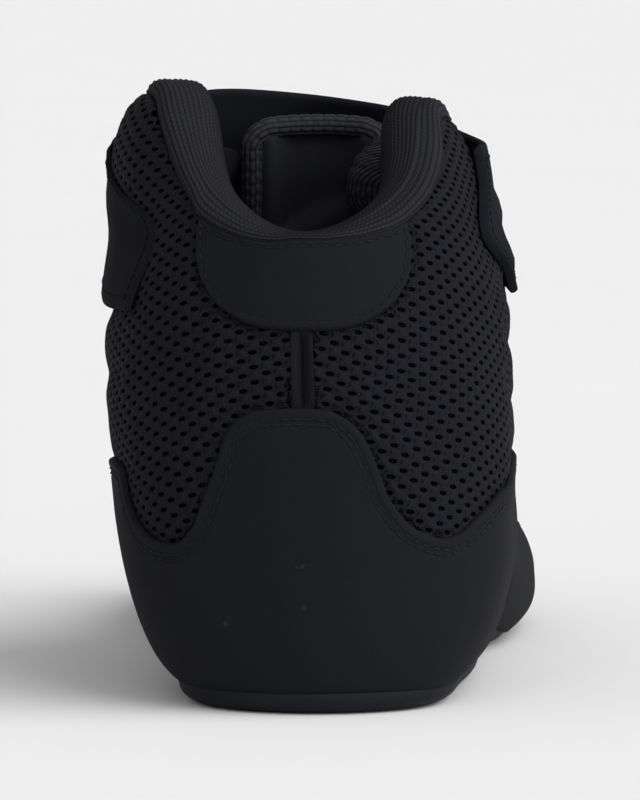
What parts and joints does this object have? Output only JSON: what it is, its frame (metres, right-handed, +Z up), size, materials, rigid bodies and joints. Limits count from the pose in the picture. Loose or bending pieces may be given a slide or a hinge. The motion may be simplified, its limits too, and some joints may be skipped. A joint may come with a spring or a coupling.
{
  "type": "boxing shoe",
  "caption": "Mid-cut black boxing shoe for the right foot: mesh upper, suede-like heel overlay, padded knit collar, tongue, criss-cross lace, ankle strap and a thin rubber sole",
  "frame": {"origin": "on the floor under the middle of the shoe's bounding box", "axes": "+Y to the toe, +X to the outer side of the foot, +Z up"},
  "size_m": [0.108, 0.2888, 0.1436],
  "materials": {
    "rubber": "matte black rubber",
    "foam": "black cloth over foam",
    "mesh": "black spacer mesh with staggered oval holes",
    "knit": "fine ribbed charcoal knit over padding",
    "suede": "matte black suede-like sheet, sewn edges",
    "webbing": "smooth black strap",
    "cord": "flat black braid"
  },
  "bodies": {
    "root": {"outsole": "rubber", "insole": "foam", "upper": "mesh", "collar_lining": "knit", "heel_counter": "suede", "heel_tab": "suede", "toe_rand": "suede", "eyestay_inner": "suede", "eyestay_outer": "suede", "tongue": "mesh", "ankle_strap": "webbing", "lace": "cord"}
  },
  "joints": []
}
